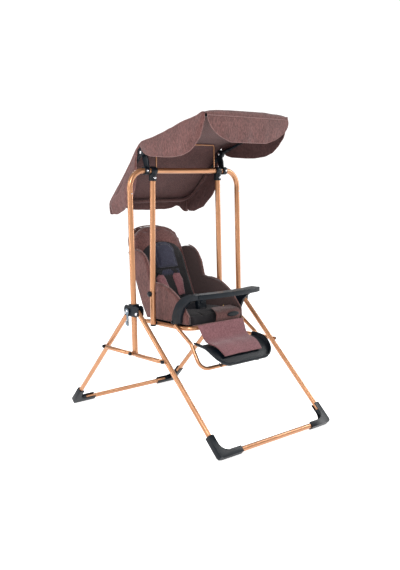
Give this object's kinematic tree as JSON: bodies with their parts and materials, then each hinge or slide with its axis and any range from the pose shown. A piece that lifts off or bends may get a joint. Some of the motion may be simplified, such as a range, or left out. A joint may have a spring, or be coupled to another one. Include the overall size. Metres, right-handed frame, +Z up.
{
  "type": "Freestanding folding frame swing with canopy",
  "caption": "Tubular steel baby swing on a folding frame, with a hooded fabric canopy, a padded seat with bumper bar and buckle, and a tilting footrest.",
  "frame": {"origin": "bottom centre of the bounding box, on the floor", "axes": "+X towards the child's left, +Y towards the back of the swing (the child faces -Y), +Z up"},
  "size_m": [0.7228, 1.1035, 1.382],
  "materials": {
    "copper_paint": "metallic copper paint, satin",
    "chrome_trim": "bright plated steel",
    "zinc_lever": "bluish zinc plate",
    "slate_plastic": "fine textured injection moulding",
    "dark_board": "plain sheet stiffener",
    "mauve_fabric": "heathered canvas weave",
    "dark_lining": "smooth woven lining",
    "navy_fabric": "brushed knit"
  },
  "bodies": {
    "stand": {"top_bar_tube": "copper_paint", "support_wire_bow": "copper_paint", "post_tube_left": "copper_paint", "post_tube_right": "copper_paint", "centre_pivot_knob_left": "slate_plastic", "centre_pivot_knob_right": "slate_plastic", "canopy_bracket_left": "slate_plastic", "canopy_bracket_right": "slate_plastic"},
    "hubs": {"hub_left": "slate_plastic", "hub_right": "slate_plastic"},
    "front_legs": {"front_leg_tube": "copper_paint", "front_foot_left": "slate_plastic", "front_foot_right": "slate_plastic"},
    "rear_legs": {"rear_leg_tube": "copper_paint", "rear_foot_left": "slate_plastic", "rear_foot_right": "slate_plastic"},
    "front_links": {"front_link_left": "copper_paint", "front_link_right": "copper_paint", "front_link_knob_left": "slate_plastic", "front_link_knob_right": "slate_plastic"},
    "rear_links": {"rear_link_left": "copper_paint", "rear_link_right": "copper_paint", "rear_link_knob_left": "slate_plastic", "rear_link_knob_right": "slate_plastic"},
    "canopy": {"canopy_cloth": "mauve_fabric", "canopy_front_bow": "slate_plastic", "canopy_rear_bow": "slate_plastic", "canopy_head_left": "slate_plastic", "canopy_head_right": "slate_plastic", "canopy_rivet_left": "chrome_trim", "canopy_rivet_right": "chrome_trim"},
    "swing_seat": {"seat_rail_tube": "copper_paint", "seat_pan": "dark_board", "backrest_board": "dark_board", "seat_cushion": "dark_lining", "back_cushion": "dark_lining", "head_pad": "navy_fabric", "harness_buckle": "slate_plastic", "hanger_clamp_left": "slate_plastic", "hanger_clamp_right": "slate_plastic", "hanger_tube_left": "copper_paint", "hanger_tube_right": "copper_paint", "hanger_knob_left": "slate_plastic", "hanger_knob_right": "slate_plastic", "seat_washer_left": "slate_plastic", "seat_washer_right": "slate_plastic", "side_wing_left": "mauve_fabric", "side_wing_right": "mauve_fabric", "shoulder_pad_left": "mauve_fabric", "shoulder_pad_right": "mauve_fabric"},
    "bumper": {"bumper_bar": "slate_plastic"},
    "footrest": {"footrest_tube": "copper_paint", "footrest_plate": "slate_plastic", "leg_rest_pad": "mauve_fabric"},
    "buckle_release": {"buckle_button": "slate_plastic"},
    "lever_left": {"lock_lever_left": "zinc_lever"},
    "snap_left": {"post_snap_button_left": "chrome_trim"},
    "lever_right": {"lock_lever_right": "zinc_lever"},
    "snap_right": {"post_snap_button_right": "chrome_trim"}
  },
  "joints": [
    {"name": "swing_hang", "type": "hinge", "parent": "stand", "child": "swing_seat", "pos_m": [0, 0.0355, 1.142], "axis": [1, 0, 0], "range_deg": [-15, 10]},
    {"name": "canopy_tilt", "type": "hinge", "parent": "stand", "child": "canopy", "pos_m": [0, 0.0555, 1.222], "axis": [1, 0, 0], "range_deg": [-15, 0]},
    {"name": "hub_slide", "type": "slide", "parent": "stand", "child": "hubs", "axis": [0, 0.0215, 0.9998], "range_m": [0, 0.267]},
    {"name": "front_leg_fold", "type": "hinge", "parent": "hubs", "child": "front_legs", "pos_m": [0, -0.0148, 0.523], "axis": [1, 0, 0], "range_deg": [0, 40]},
    {"name": "rear_leg_fold", "type": "hinge", "parent": "hubs", "child": "rear_legs", "pos_m": [0, 0.0592, 0.523], "axis": [1, 0, 0], "range_deg": [-40.5, 0]},
    {"name": "front_link_fold", "type": "hinge", "parent": "stand", "child": "front_links", "pos_m": [0, 0.0183, 0.343], "axis": [1, 0, 0], "range_deg": [-73, 0]},
    {"name": "rear_link_fold", "type": "hinge", "parent": "stand", "child": "rear_links", "pos_m": [0, 0.0183, 0.343], "axis": [1, 0, 0], "range_deg": [0, 73]},
    {"name": "bumper_lift", "type": "hinge", "parent": "swing_seat", "child": "bumper", "pos_m": [0, -0.0765, 0.476], "axis": [1, 0, 0], "range_deg": [-60, 0]},
    {"name": "footrest_tilt", "type": "hinge", "parent": "swing_seat", "child": "footrest", "pos_m": [0, -0.1145, 0.463], "axis": [1, 0, 0], "range_deg": [-30, 0]},
    {"name": "buckle_press", "type": "slide", "parent": "swing_seat", "child": "buckle_release", "axis": [0, 1, 0], "range_m": [0, 0.0025], "stiffness_N_per_m": 500},
    {"name": "lever_turn_left", "type": "hinge", "parent": "hubs", "child": "lever_left", "pos_m": [0.348, 0.04054, 0.531], "axis": [1, 0, 0], "range_deg": [0, 70]},
    {"name": "snap_press_left", "type": "slide", "parent": "stand", "child": "snap_left", "axis": [0, 1, 0], "range_m": [0, 0.003], "stiffness_N_per_m": 600},
    {"name": "lever_turn_right", "type": "hinge", "parent": "hubs", "child": "lever_right", "pos_m": [-0.348, 0.04054, 0.531], "axis": [1, 0, 0], "range_deg": [0, 70]},
    {"name": "snap_press_right", "type": "slide", "parent": "stand", "child": "snap_right", "axis": [0, 1, 0], "range_m": [0, 0.003], "stiffness_N_per_m": 600}
  ],
  "couplings": [
    {"joint": "rear_leg_fold", "follows": "front_leg_fold", "ratio": -1},
    {"joint": "hub_slide", "follows": "front_leg_fold", "m_per_rad": 0.3815},
    {"joint": "front_link_fold", "follows": "front_leg_fold", "ratio": -1.8},
    {"joint": "rear_link_fold", "follows": "front_leg_fold", "ratio": 1.81}
  ]
}
